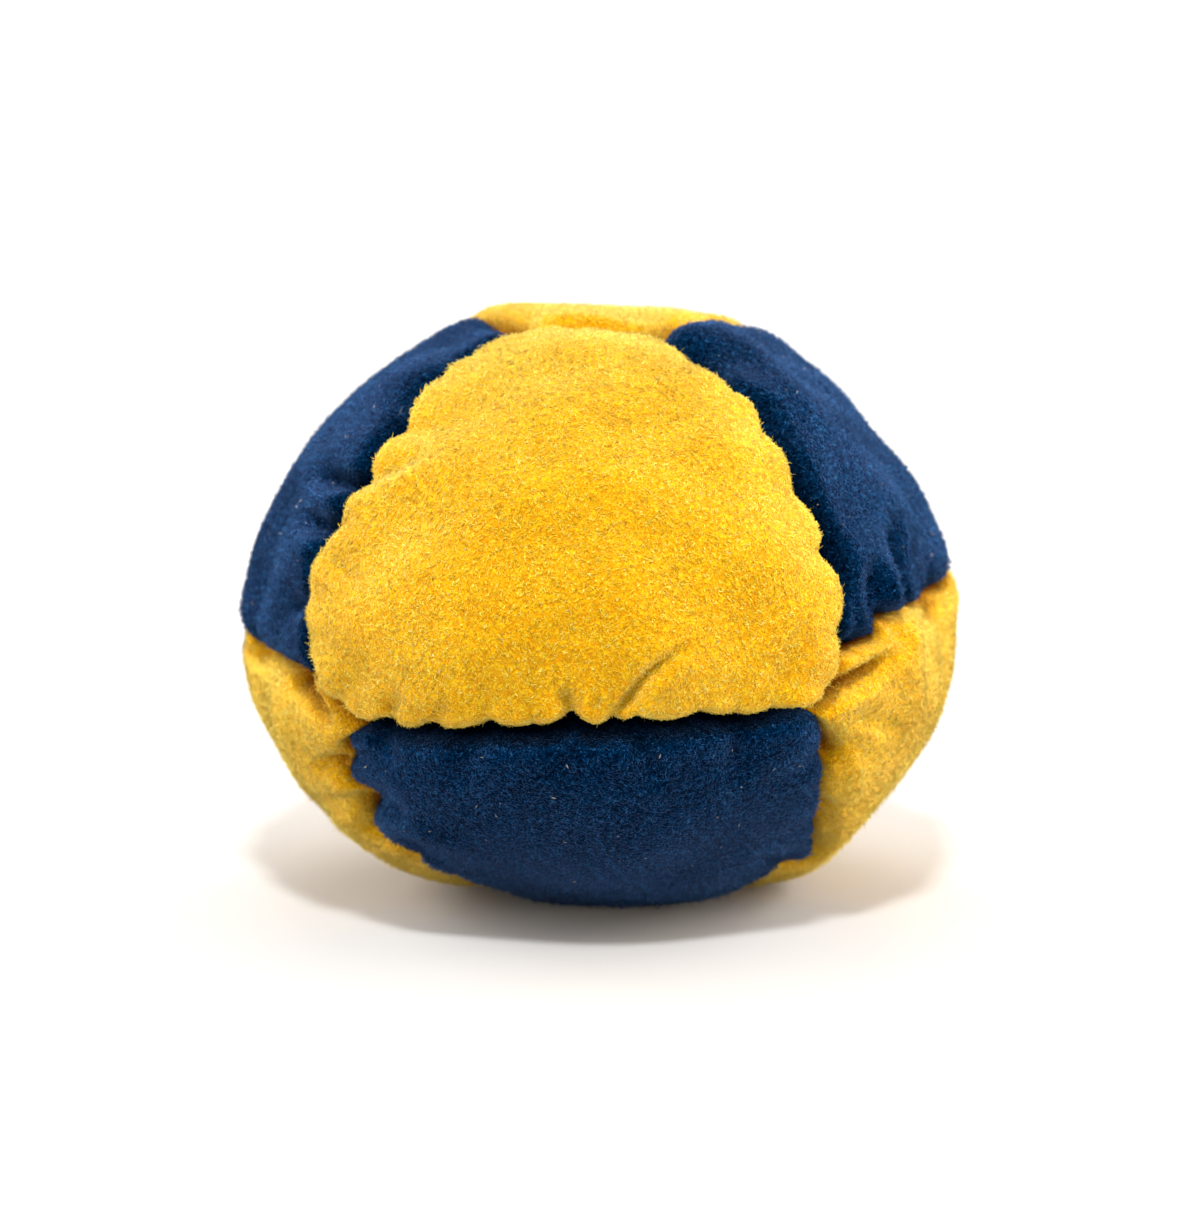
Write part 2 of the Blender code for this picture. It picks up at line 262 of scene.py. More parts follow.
# The bag's outline in the photograph, clockwise from the top left
OUTLINE_PIXELS = (
    (484, 308), (503, 303), (535, 303), (570, 304), (608, 306), (650, 307), (690, 310), (709, 314),
    (740, 321), (768, 331), (795, 351), (830, 379), (860, 414), (890, 449), (920, 487), (935, 520),
    (945, 548), (956, 576), (957, 608), (956, 642), (951, 680), (937, 726), (909, 769), (877, 808),
    (845, 844), (810, 874), (770, 884), (711, 898), (665, 904), (610, 906), (564, 904), (518, 896),
    (465, 885), (415, 876), (372, 855), (335, 824), (302, 789), (274, 742), (253, 703), (244, 660),
    (240, 622), (246, 590), (248, 562), (262, 526), (280, 488), (305, 448), (333, 412), (367, 381),
    (403, 354), (432, 336), (460, 321),
)
OUTLINE_STEPS = 8
OUTLINE_DAMPING = 0.8
OUTLINE_WINDOW = 2
MOST_GROWTH = 0.0018
NAP_PIXELS = 1.5

# Folds seen in the photograph: pixels along each, half width in pixels and depth in metres.
# A negative depth is a ridge.
FOLD_TAPER = ((0.0, 0.25, 0.65, 1.0), (0.7, 1.0, 0.8, 0.0))
FOLD_TURN = 0.2
FOLDS = {
    "front_panel": [
        (((608, 730), (628, 702), (650, 674), (694, 640)), 7, 0.0012),
        (((626, 728), (650, 692), (676, 668), (704, 656)), 14, -0.0005),
        (((357, 482), (392, 466), (432, 444)), 9, 0.0009),
        (((352, 498), (390, 484), (424, 464)), 12, -0.0003),
        (((402, 430), (432, 425), (470, 424)), 10, 0.0004),
        (((322, 552), (346, 572), (370, 594)), 12, 0.0005),
        (((834, 549), (814, 552), (796, 560)), 10, 0.0003),
        (((571, 722), (566, 702), (560, 686)), 9, 0.0007),
        (((384, 716), (392, 704), (404, 694)), 9, 0.0006),
        (((432, 731), (436, 716), (444, 702)), 8, 0.0006),
        (((800, 648), (786, 676), (776, 700)), 14, 0.0004),
    ],
    "right_panel": [
        (((816, 703), (838, 691), (858, 679), (878, 666), (898, 650)), 8, 0.0027),
        (((846, 660), (870, 646), (894, 632)), 16, -0.0006),
        (((832, 712), (862, 694), (888, 680)), 16, -0.0005),
        (((912, 600), (914, 650), (916, 706), (904, 750)), 11, -0.0008),
        (((938, 592), (938, 645), (934, 710)), 11, 0.0007),
        (((829, 738), (833, 750), (829, 762)), 7, 0.0026),
        (((808, 804), (824, 804), (840, 806)), 7, 0.0012),
        (((806, 820), (824, 818), (840, 812)), 7, 0.0010),
        (((862, 716), (884, 722), (902, 736)), 10, 0.0006),
        (((846, 742), (868, 752), (880, 768)), 12, 0.0005),
        (((800, 846), (816, 838), (828, 836)), 7, 0.0010),
    ],
    "left_panel": [
        (((288, 664), (302, 692), (315, 711), (331, 729)), 7, 0.0023),
        (((260, 676), (276, 712), (302, 752)), 16, -0.0005),
        (((322, 764), (338, 766), (352, 762)), 8, 0.0020),
        (((362, 800), (372, 806), (378, 814)), 8, 0.0016),
        (((370, 828), (382, 836), (390, 842)), 7, 0.0014),
        (((400, 844), (412, 854), (424, 864)), 7, 0.0012),
        (((262, 634), (256, 650), (250, 668)), 6, 0.0022),
        (((318, 800), (340, 804), (362, 800)), 12, 0.0006),
        (((340, 790), (352, 784), (364, 778)), 9, -0.0006),
        (((262, 690), (282, 716), (296, 742)), 12, 0.0004),
    ],
    "upper_right_panel": [
        (((676, 326), (712, 331), (742, 343), (766, 360), (800, 392), (842, 436)), 12, -0.0011),
        (((688, 344), (712, 362), (736, 382)), 10, 0.0014),
        (((764, 412), (780, 432), (794, 446)), 9, 0.0009),
        (((766, 336), (796, 366), (824, 398)), 14, 0.0006),
        (((884, 624), (881, 594), (876, 556)), 10, 0.0018),
        (((916, 604), (913, 576), (905, 544), (898, 508)), 10, 0.0017),
        (((898, 612), (896, 582), (890, 548)), 12, -0.0006),
        (((864, 636), (861, 606), (854, 576)), 9, 0.0008),
        (((936, 590), (935, 562), (928, 526)), 9, 0.0009),
        (((842, 462), (858, 506), (864, 548)), 16, 0.0003),
        (((838, 548), (848, 566), (852, 586)), 9, 0.0010),
    ],
    "upper_left_panel": [
        (((360, 480), (336, 478), (306, 468)), 11, 0.0016),
        (((340, 528), (318, 524), (288, 510)), 12, 0.0016),
        (((336, 548), (306, 548), (280, 558)), 13, -0.0007),
        (((350, 502), (326, 500), (300, 490)), 11, -0.0005),
        (((434, 374), (410, 394), (386, 414)), 12, 0.0011),
        (((306, 598), (286, 606), (268, 604)), 12, 0.0010),
        (((420, 366), (392, 384), (364, 412), (338, 446)), 16, -0.0006),
        (((262, 630), (268, 600), (276, 570)), 12, 0.0006),
    ],
    "top_panel": [
        (((498, 322), (514, 326), (530, 320), (540, 310)), 8, 0.0018),
        (((540, 318), (580, 312), (630, 314)), 9, -0.0005),
        (((646, 328), (662, 326), (680, 318)), 8, 0.0012),
    ],
    "lower_front_panel": [
        (((641, 736), (650, 765), (656, 792)), 12, 0.0009),
        (((470, 742), (464, 766), (450, 790)), 13, 0.0006),
        (((402, 842), (430, 856), (456, 868)), 6, 0.0008),
        (((404, 828), (440, 842), (480, 860)), 11, -0.0006),
        (((374, 804), (392, 810), (408, 822)), 8, 0.0010),
        (((352, 790), (374, 796), (392, 796)), 9, 0.0009),
        (((796, 860), (778, 862), (756, 858)), 6, 0.0008),
        (((376, 728), (388, 750), (394, 772)), 10, 0.0008),
        (((560, 740), (562, 764), (556, 786)), 14, 0.0005),
        (((740, 742), (738, 764), (730, 786)), 14, 0.0006),
    ],
}

# Loose swell of the filled panels: wavelengths and height
SWELL_SEED = 5
SWELL_WAVES = 14
SWELL_LENGTHS = (0.007, 0.016)
SWELL_HEIGHT = 0.00022

# Thread: how far it swings to each side of the seam, and how deep it runs
THREAD_DIAMETER = 0.0005
THREAD_ROUNDING = 2
THREAD_SWING = 0.0009
THREAD_SINK = 0.0012
THREAD_CLIMB = 0.0007
THREAD_END = 0.002

# Fill: pellet size, how flat pellets are, and how far they stay inside the plain skin
PELLET_SEED = 7
PELLET_SIZE = 0.004
PELLET_FLATNESS = (0.75, 1.0)
FILL_MARGIN = 0.003
CREASE_WIDTH = 0.0055
CREASE_REACH = 0.0095

# Nap: tufts per square metre, the most on a panel, their length, width and how far they lie
# over, and the shape of one
NAP_SEED = 101
NAP_DENSITY = 4.0e7
MOST_TUFTS = 46000
NAP_LENGTH = 0.00030
NAP_LENGTH_SPREAD = 0.35
NAP_WIDTH = 0.00007
NAP_WIDTHS = (0.6, 1.3)
NAP_LEANS = (1.0, 4.0)
NAP_MAP_SIZE = 0.0006
TUFT_POINTS = 4
TUFT_WAIST = 0.45
TUFT_ROUNDING = 1.1
# The few fibres that stand free: their share, and how long, thin and upright they are
STRAY_SHARE = 0.016
STRAY_LENGTHS = (1.5, 2.6)
STRAY_THINNING = 2.5
STRAY_LEAN = 0.5
LINT_SHARE = 0.0012
# Brushing: patches and locks of one direction, their seeds and wavelengths
COMB_WAVES = 8
COMB_SPREAD = 0.5
BRUSH_SEED = 31
BRUSH_LENGTHS = (0.004, 0.012)
LOCK_SEED = 41
LOCK_LENGTHS = (0.0005, 0.0010)
LOCK_SHADE_SEED = 51
LOCK_SHADE_WAVES = 10
LOCK_SHADE = 0.5
# Tufts are shorter where the suede turns in: how upright the skin is, share of the length
RIM_TRIM = ((0.5, 0.95), (0.5, 1.0))

# Studio: even fill, and softboxes by their direction, size, power and colour
FILL_STRENGTH = 0.85
NEUTRAL = "#ffffff"
WARM = "#ffe9d2"
SOFTBOX_DISTANCE = 1.1
SOFTBOXES = (
    ("key_softbox", (0.0, -0.5, 0.87), 0.14, 12.0, NEUTRAL),
    ("overhead_softbox", (0.0, 0.6, 1.0), 0.6, 3.0, NEUTRAL),
    ("left_softbox", (-0.9, 0.2, 0.4), 0.7, 6.0, WARM),
    ("right_softbox", (0.9, 0.2, 0.35), 0.7, 14.0, WARM),
    ("low_left_softbox", (-1.0, -0.4, 0.1), 0.2, 4.5, WARM),
    ("low_right_softbox", (1.0, -0.4, 0.1), 0.2, 6.0, WARM),
    ("back_left_softbox", (-0.7, 0.7, 0.25), 0.6, 16.0, NEUTRAL),
    ("back_right_softbox", (0.7, 0.7, 0.25), 0.6, 13.0, NEUTRAL),
)
FLOOR_SIZE = 4.0

# Panel meshes: the sphere's level, cuts of each edge, passes that even it out, turned rows
SPHERE_LEVEL = 6
CUT_TOLERANCE = 1e-6
EDGE_CUTS = 2
RELAX_STEPS = 6
RELAX_SHARE = 0.5
TURNED_ROWS = 2
TINY = 1e-9
# Width of the flat map, a little over 2 to leave a margin
MAP_WIDTH = 2.06


def unit(vectors):
    vectors = np.asarray(vectors, float)
    return vectors / np.linalg.norm(vectors, axis=-1, keepdims=True)


def skin_distance(directions):
    """From the ball's centre to its plain outer skin."""
    return 1 / np.sqrt(((directions / HALF_SIZES) ** 2).sum(-1))


JUNCTIONS = {name: unit(np.array(shares) * HALF_SIZES) for name, shares in JUNCTION_SHARES.items()}
PANELS = {**YELLOW_PANELS, **NAVY_PANELS}
CROWN_SHARES, EDGE_RADII, RANKS = (
    dict(zip(PANEL_FORMS, column)) for column in zip(*PANEL_FORMS.values())
)

# The camera looks along +Y and down, at the middle of the ball
CAMERA_BACK = np.array([0.0, -math.cos(CAMERA_ELEVATION), math.sin(CAMERA_ELEVATION)])
CAMERA_RIGHT = np.array([1.0, 0.0, 0.0])
CAMERA_UP = np.cross(CAMERA_BACK, CAMERA_RIGHT)
CAMERA_PLACE = BAG_CENTRE + CAMERA_BACK * CAMERA_DISTANCE


def sight_line(pixel):
    """Start and direction of a pixel's ray, in half sizes of the ball."""
    across = (pixel[0] - BAG_CENTRE_PIXEL[0]) / FOCAL_PIXELS
    upward = (BAG_CENTRE_PIXEL[1] - pixel[1]) / FOCAL_PIXELS
    ray = -CAMERA_BACK + CAMERA_RIGHT * across + CAMERA_UP * upward
    return (CAMERA_PLACE - BAG_CENTRE) / HALF_SIZES, unit(ray / HALF_SIZES)


def skin_point(place):
    """A pixel's point on the plain skin or nearest to it, or the point that shares name."""
    if len(place) == 3:
        return unit(np.array(place)) * HALF_SIZES
    origin, ray = sight_line(place)
    along = -origin @ ray
    spare = 1 - origin @ origin + along**2
    return unit(origin + ray * (along - math.sqrt(max(spare, 0)))) * HALF_SIZES


def junction_place(name):
    """A junction's pixel where it is in view, or else its shares of the ball."""
    return JUNCTION_PIXELS.get(name, JUNCTION_SHARES[name])


def pairs_round(corners):
    """Each corner of a panel with the next one."""
    return zip(corners, corners[1:] + corners[:1])


class Field:
    """A smooth field that takes given values at given places and is nothing beyond its reach."""

    def __init__(self, places, values, reach):
        self.places = np.array(places)
        self.reach = reach
        kernel = self.kernel(self.places)
        kernel[np.diag_indices_from(kernel)] += FIELD_SLACK
        self.weights = np.linalg.solve(kernel, np.array(values))

    def kernel(self, points):
        apart = (points**2).sum(-1)[:, None] + (self.places**2).sum(-1)
        apart -= 2 * points @ self.places.T
        share = np.minimum(np.sqrt(np.maximum(apart, 0)) / self.reach, 1)
        return (1 - share) ** 4 * (4 * share + 1)

    def __call__(self, points):
        return self.kernel(points) @ self.weights


class Seam:
    """One sewn seam: its plane, its stitches and its trace on the skin."""

    def __init__(self, start, end, seed, owner, neighbour):
        self.start = JUNCTIONS[start]
        self.end = JUNCTIONS[end]
        self.normal = unit(np.cross(self.start, self.end))
        self.angle = math.acos(float(self.start @ self.end))
        self.radius = float(skin_distance(unit(self.start + self.end)))
        self.length = self.angle * self.radius
        self.lap = {owner: RANKS[neighbour] - RANKS[owner]}
        self.lap[neighbour] = -self.lap[owner]
        names = [panel.removesuffix("_panel") for panel in (owner, neighbour)]
        self.thread = "thread_" + "_to_".join(names)
        draw = np.random.RandomState(seed)
        self.traced = (start, end) in SEAM_TRACES
        if self.traced:
            middle = SEAM_TRACES[start, end]
            places = [junction_place(start), *middle, junction_place(end)]
            self.trace = np.array([skin_point(place) for place in places])
            steps = np.linalg.norm(np.diff(self.trace, axis=0), axis=-1)
            self.shares = np.concatenate([[0], np.cumsum(steps)]) / steps.sum()
            self.seen = 1 + np.flatnonzero([len(place) == 2 for place in middle])
            marks = [(0, JUNCTION_PULL), (1, JUNCTION_PULL)]
            for *pixel, strength in SEAM_STITCHES.get((start, end), ()):
                marks.append((self.share_at(pixel), strength))
            marks.sort()
            for (low, _), (high, _) in list(zip(marks, marks[1:])):
                lobes = int((high - low) * self.length / LONGEST_LOBE) + 1
                for share in np.linspace(low, high, lobes + 1)[1:-1]:
                    marks.append((share, draw.uniform(*PLAIN_STITCH)))
            self.stitches, self.strength = np.array(sorted(marks)).T
            self.stitches = self.stitches * self.length
        else:
            count = max(2, round(self.length / STITCH_PITCH))
            steps = draw.uniform(*STITCH_STEPS, count)
            self.stitches = np.concatenate([[0], np.cumsum(steps) / steps.sum()]) * self.length
            self.strength = draw.uniform(*STITCH_PULLS, count + 1)
        count = len(self.stitches)
        self.lobes = draw.uniform(*LOBE_SIZES, count - 1)
        self.reach = draw.uniform(*GATHER_LENGTHS, (2, count))
        self.lean = draw.uniform(-GATHER_LEAN, GATHER_LEAN, (2, count))

    def sink_of(self, name):
        """How deep and how far in the suede dips beside this seam where it runs under another."""
        return FRONT_SINKS[name] if "front_panel" in self.lap and name in FRONT_SINKS else SIDE_SINK

    def share_at(self, pixel):
        """Share of the trace's length that is nearest to a pixel."""
        apart = np.linalg.norm(self.trace - skin_point(pixel), axis=-1)
        return self.shares[int(apart.argmin())]

    def arc(self, shares):
        """Points of the plain skin along the seam."""
        turns = np.asarray(shares)[:, None] * self.angle
        beside = np.cross(self.normal, self.start)
        directions = self.start * np.cos(turns) + beside * np.sin(turns)
        return directions * skin_distance(directions)[:, None]

    def traced_at(self, shares):
        return np.stack([np.interp(shares, self.shares, axis) for axis in self.trace.T], -1)

    def place(self, directions):
        """How far along the seam and how far off its plane each direction lies."""
        off = directions @ self.normal
        flat = directions - off[:, None] * self.normal
        turn = np.arctan2(np.cross(self.start, flat) @ self.normal, flat @ self.start)
        return turn * self.radius, np.arcsin(np.clip(off, -1, 1)) * self.radius

    def lobe(self, along):
        """From 0 at a stitch to its lobe's own height halfway to the next."""
        last = len(self.stitches) - 2
        index = np.clip(np.searchsorted(self.stitches, along, side="right") - 1, 0, last)
        low, high = self.stitches[index], self.stitches[index + 1]
        phase = np.clip((along - low) / (high - low), 0, 1)
        return np.sin(math.pi * phase) ** LOBE_ROUNDNESS * self.lobes[index]

    def notch(self, along):
        """A short sharp pull at each stitch."""
        pull = np.zeros_like(along)
        for spot, strength in zip(self.stitches, self.strength):
            pull += strength * np.exp(-np.abs(along - spot) / NOTCH_WIDTH)
        return pull

    def gathers(self, along, off, side):
        """Small valleys that run from the stitches into the panel on one side."""
        deep = np.zeros_like(along)
        for spot, strength, reach, lean in zip(
            self.stitches, self.strength, self.reach[side], self.lean[side]
        ):
            width = GATHER_WIDTH * (1 + off / GATHER_LENGTHS[0])
            across = (along - spot - lean * off) / width
            fade = np.clip(1 - off / reach, 0, 1) ** GATHER_FADE
            deep += strength * np.exp(-across**2) * fade
        return deep * GATHER_DEPTH


def seams_of_bag():
    seams = {}
    for name, corners in PANELS.items():
        for start, end in pairs_round(corners):
            if (start, end) in seams or (end, start) in seams:
                continue
            key = (start, end) if (end, start) not in SEAM_TRACES else (end, start)
            neighbour = next(
                other for other, points in PANELS.items()
                if other != name and {start, end} <= set(points)
            )
            seams[key] = Seam(*key, len(seams) + SEAM_SEED, name, neighbour)
    return seams


SEAMS = seams_of_bag()


def plain_pull():
    """Carries each plain seam onto its trace, in three passes from broad to fine."""
    fields = []
    for reach in PULL_REACHES:
        places, targets = [], []
        for seam in SEAMS.values():
            if not seam.traced:
                continue
            if reach == PULL_REACHES[-1]:
                shares = seam.shares[seam.seen]
            else:
                parts = max(2, round(seam.length / (reach / 2)))
                shares = np.arange(1, parts) / parts
            places.extend(seam.arc(shares))
            targets.extend(seam.traced_at(shares))
        for name, direction in JUNCTIONS.items():
            places.append(direction * skin_distance(direction))
            targets.append(skin_point(junction_place(name)))
        places = np.array(places)
        reached = places + sum(field(places) for field in fields)
        fields.append(Field(places, np.array(targets) - reached, reach))
    return fields


PULLS = plain_pull()


def pulled(points):
    """How the skin is drawn along itself, so that the seams run as photographed."""
    return sum(field(points) for field in PULLS)


def seam_sides(corners):
    """(seam, +1 or -1 for the side of it that the panel is on) round a panel."""
    for start, end in pairs_round(corners):
        if (start, end) in SEAMS:
            yield SEAMS[start, end], 1
        else:
            yield SEAMS[end, start], -1


def picture_places(points):
    """Where points relative to the ball's centre lie in the photograph, in its pixels."""
    sight = points + BAG_CENTRE - CAMERA_PLACE
    scale = FOCAL_PIXELS / -(sight @ CAMERA_BACK)
    across = BAG_CENTRE_PIXEL[0] + sight @ CAMERA_RIGHT * scale
    down = BAG_CENTRE_PIXEL[1] - sight @ CAMERA_UP * scale
    return np.stack([across, down], -1)


def fold_depth(points, folds):
    """Depth that the listed folds give the skin where the camera sees them."""
    places = picture_places(points)
    deep = np.zeros(len(points))
    for pixels, width, depth in folds:
        route = np.array(pixels, float)
        lengths = np.linalg.norm(np.diff(route, axis=0), axis=-1)
        nearest = np.full(len(points), float(FRAME_WIDTH))
        share = np.zeros(len(points))
        walked = 0.0
        for start, step, length in zip(route, np.diff(route, axis=0), lengths):
            at = np.clip((places - start) @ step / length**2, 0, 1)
            apart = np.linalg.norm(places - start - at[:, None] * step, axis=-1)
            closer = apart < nearest
            nearest = np.where(closer, apart, nearest)
            share = np.where(closer, (walked + at * length) / lengths.sum(), share)
            walked += length
        deep += depth * np.interp(share, *FOLD_TAPER) * np.exp(-((nearest / width) ** 2))
    return deep * np.clip(unit(points) @ CAMERA_BACK / FOLD_TURN, 0, 1)


def waves(points, seed, count, lengths):
    """Smooth random field of about unit height, made of plane waves."""
    draw = np.random.RandomState(seed)
    field = np.zeros(len(points))
    for _ in range(count):
        way = unit(draw.normal(size=3))
        pitch = draw.uniform(*lengths)
        field += np.sin(points @ way * (2 * math.pi / pitch) + draw.uniform(0, 2 * math.pi))
    return field / math.sqrt(count / 2)


def swell_of(points):
    return waves(points, SWELL_SEED, SWELL_WAVES, SWELL_LENGTHS) * SWELL_HEIGHT


def middle_of(name):
    """The direction of a panel's middle."""
    return unit(sum(JUNCTIONS[corner] for corner in PANELS[name]))


def crown_of(name, offs):
    """The panel's swell past the ball, from nothing at its seams to all of it in the middle."""
    nearest = sum(np.maximum(off, LEAST_OFF) ** -CROWN_CORNER for off in offs)
    nearest = nearest ** (-1 / CROWN_CORNER)
    middle = middle_of(name)
    reach = min(
        float((seam.place(middle[None])[1] * side)[0]) for seam, side in seam_sides(PANELS[name])
    )
    share = np.clip(nearest / reach, 0, 1)
    return CROWN_HEIGHT * CROWN_SHARES[name] * (1 - (1 - share) ** CROWN_RISE)


def edge_profile(off, radius):
    """How far in and how deep the rounded edge lies at a distance off the seam."""
    quarter = radius * math.pi / 2
    spare = quarter - radius
    share = np.clip(off / EDGE_REACH, 0, 1)
    walked = off + spare * (1 - (1 - share) ** 2)
    turn = np.clip(walked / radius, 0, math.pi / 2)
    lateral = radius * (1 - np.cos(turn)) + np.maximum(walked - quarter, 0)
    return lateral, 1 - np.sin(turn)


def bare_panel(name, directions):
    """The gathered and folded skin of a panel, relative to the ball's centre."""
    radius = EDGE_RADII[name]
    base = directions * skin_distance(directions)[:, None]
    shift = pulled(base)
    deep_power = np.zeros(len(base))
    details = np.zeros(len(base))
    offs = []
    for seam, side in seam_sides(PANELS[name]):
        along, off = seam.place(directions)
        off = np.maximum(off * side, 0)
        offs.append(off)
        lateral, deep = edge_profile(off, radius)
        lobe = seam.lobe(along)
        sink, sink_reach = seam.sink_of(name)
        near = np.exp(-((off / sink_reach) ** 2))
        dip = np.exp(-((off / sink_reach) ** SINK_STEEPNESS))
        lap = LOBE_OVERHANG * lobe * (TRACED_LOBE_SHARE if seam.traced else 1)
        # Laps and pulls are largest halfway down the rolled edge
        lap = (lap - NOTCH_PULL * seam.notch(along)) * 4 * deep * (1 - deep)
        lap *= np.clip(seam.lap[name], -1, 1)
        shift += seam.normal * (side * (lateral - off + lap + EDGE_GAP))[:, None]
        # Cubed and rooted again below, so that edges don't add up where they meet
        deep_power += deep**3
        details += seam.gathers(along, off, 0 if side > 0 else 1)
        if seam.lap[name] > 0:
            details += sink * dip
        else:
            details -= LOBE_RISE * lobe * near
    points = base + shift
    outward = unit(points)
    reach = skin_distance(outward) + crown_of(name, offs) + swell_of(points)
    reach -= SEAM_DEPTH * np.cbrt(deep_power) + details
    reach -= fold_depth(outward * reach[:, None], FOLDS[name]) if name in FOLDS else 0
    return outward * reach[:, None]


def outline_field(growths):
    """Growth along the outline, held for a way past it on the far side."""
    near = np.array([skin_point(pixel) for pixel in OUTLINE_PIXELS])
    places = [near]
    for turn in OUTLINE_TURNS:
        way = unit(unit(near) - CAMERA_BACK * turn)
        places.append(way * skin_distance(way)[:, None])
    return Field(np.concatenate(places), np.tile(growths, len(places)), OUTLINE_REACH)


def grown(points, growth, turned=0.0):
    """Points on the ball once its skin has grown; turned is how far in along a turned edge."""
    outward = unit(points)
    rise = growth(outward * skin_distance(outward)[:, None]) - turned
    placed = points + outward * rise[:, None] + BAG_CENTRE
    placed[:, 2] = np.maximum(placed[:, 2], 0)
    return placed


def outline_radii(points):
    """Radius of the outline in the picture, in pixels, at each whole degree."""
    offsets = picture_places(points - BAG_CENTRE) - BAG_CENTRE_PIXEL
    degrees = np.round(np.degrees(np.arctan2(-offsets[:, 1], offsets[:, 0]))).astype(int) % 360
    radii = np.zeros(360)
    np.maximum.at(radii, degrees, np.hypot(*offsets.T))
    return radii + NAP_PIXELS


def fitted_growth(points):
    """Swells or draws in the skin until its outline runs through the photographed pixels."""
    offsets = np.array(OUTLINE_PIXELS) - BAG_CENTRE_PIXEL
    bearings = np.degrees(np.arctan2(-offsets[:, 1], offsets[:, 0])) % 360
    order = np.argsort(bearings)
    radii = np.hypot(*offsets.T)
    wanted = np.interp(np.arange(360), bearings[order], radii[order], period=360)
    window = np.arange(-OUTLINE_WINDOW, OUTLINE_WINDOW + 1)
    spots = (np.round(bearings).astype(int)[:, None] + window) % 360
    growths = np.zeros(len(OUTLINE_PIXELS))
    for _ in range(OUTLINE_STEPS):
        short = wanted - outline_radii(grown(points, outline_field(growths)))
        growths += short[spots].mean(-1) * CAMERA_DISTANCE / FOCAL_PIXELS * OUTLINE_DAMPING
        growths = np.clip(growths, -MOST_GROWTH, MOST_GROWTH)
    return outline_field(growths)


def panel_patch(corners):
    """The panel's piece of a fine unit sphere, with its edge turned in, as a bmesh.

    The float layer holds how far in along the turned edge a vertex lies.
    """
    bm = bmesh.new()
    bmesh.ops.create_icosphere(bm, subdivisions=SPHERE_LEVEL, radius=1.0)
    for start, end in pairs_round(corners):
        normal = unit(np.cross(JUNCTIONS[start], JUNCTIONS[end]))
        parts = bm.verts[:] + bm.edges[:] + bm.faces[:]
        bmesh.ops.bisect_plane(
            bm, geom=parts, dist=CUT_TOLERANCE, plane_co=(0, 0, 0), plane_no=normal,
            clear_inner=True
        )
    bmesh.ops.triangulate(bm, faces=bm.faces)
    inner = [vert for vert in bm.verts if not vert.is_boundary]
    for _ in range(RELAX_STEPS):
        bmesh.ops.smooth_vert(
            bm, verts=inner, factor=RELAX_SHARE, use_axis_x=True, use_axis_y=True, use_axis_z=True
        )
    bmesh.ops.subdivide_edges(bm, edges=bm.edges[:], cuts=EDGE_CUTS, use_grid_fill=True)
    bmesh.ops.triangulate(bm, faces=bm.faces)
    for vert in bm.verts:
        vert.co.normalize()
    layer = bm.verts.layers.float.new("turned")
    rim = [edge for edge in bm.edges if edge.is_boundary]
    for step in range(1, TURNED_ROWS + 1):
        made = bmesh.ops.extrude_edge_only(bm, edges=rim)["geom"]
        rim = [item for item in made if isinstance(item, bmesh.types.BMEdge)]
        for item in made:
            if isinstance(item, bmesh.types.BMVert):
                item[layer] = SEAM_ALLOWANCE * step / TURNED_ROWS
    bmesh.ops.recalc_face_normals(bm, faces=bm.faces)
    outward = sum(face.normal.dot(face.calc_center_median()) for face in bm.faces)
    if outward < 0:
        bmesh.ops.reverse_faces(bm, faces=bm.faces)
    return bm


def new_object(name, data):
    item = bpy.data.objects.new(name, data)
    bpy.context.scene.collection.objects.link(item)
    return item


def new_mesh(name, bm):
    """The mesh of a finished bmesh, which is then freed."""
    mesh = bpy.data.meshes.new(name)
    bm.to_mesh(mesh)
    bm.free()
    return mesh


def add_piece(name, mesh, material, replaced=()):
    """A piece of the bag that rides with it."""
    mesh.materials.append(material)
    piece = new_object(name, mesh)
    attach(piece, "root")
    if replaced:
        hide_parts(*replaced)
    return piece


def read(items, key, width=1, kind=np.float32):
    """One property of all of a mesh's items, as an array with so many numbers a row."""
    values = np.empty(len(items) * width, kind)
    items.foreach_get(key, values)
    return values.reshape(-1, width) if width > 1 else values


def mark_points(mesh, name, values):
    """Gives each point of a mesh a number that the materials read by its name."""
    layer = mesh.attributes.new(name, "FLOAT", "POINT")
    layer.data.foreach_set("value", np.asarray(values).astype(np.float32))


def lay_map(mesh, flat):
    """Lays the mesh out flat, by each point's place on the map."""
    loops = read(mesh.loops, "vertex_index", kind=np.int32)
    layer = mesh.uv_layers.new(name="OFBake")
    layer.uv.foreach_set("vector", flat[loops].astype(np.float32).ravel())


class Sheet:
    """One panel's sheet before the bag is filled: its mesh and its bare skin."""

    def __init__(self, name):
        self.name = name
        self.mesh = new_mesh(name, panel_patch(PANELS[name]))
        self.directions = unit(read(self.mesh.vertices, "co", 3))
        self.turned = read(self.mesh.attributes["turned"].data, "value")
        self.bare = bare_panel(name, self.directions)
        below = skin_distance(unit(self.bare)) - np.linalg.norm(self.bare, axis=-1)
        # Depth below the plain skin as a share from 0 to 1: by it the materials paint shade into
        # the seams and folds and fade the sheen there
        mark_points(self.mesh, "crease_shade", np.interp(below, CREASE_DEPTHS, (0, 1)))


def flat_map(sheet):
    """Flat places of a panel's points round its middle, with the turned edge outside them."""
    middle = middle_of(sheet.name)
    first = unit(np.cross(middle, (0, 0, 1)))
    second = np.cross(middle, first)
    turns = np.arccos(np.clip(sheet.directions @ middle, -1, 1))
    wide = turns + sheet.turned / HALF_SIZES[0]
    flat = np.stack([sheet.directions @ first, sheet.directions @ second], -1)
    flat = flat / np.maximum(np.linalg.norm(flat, axis=-1, keepdims=True), TINY) * wide[:, None]
    return 0.5 + flat / (MAP_WIDTH * np.abs(flat).max())


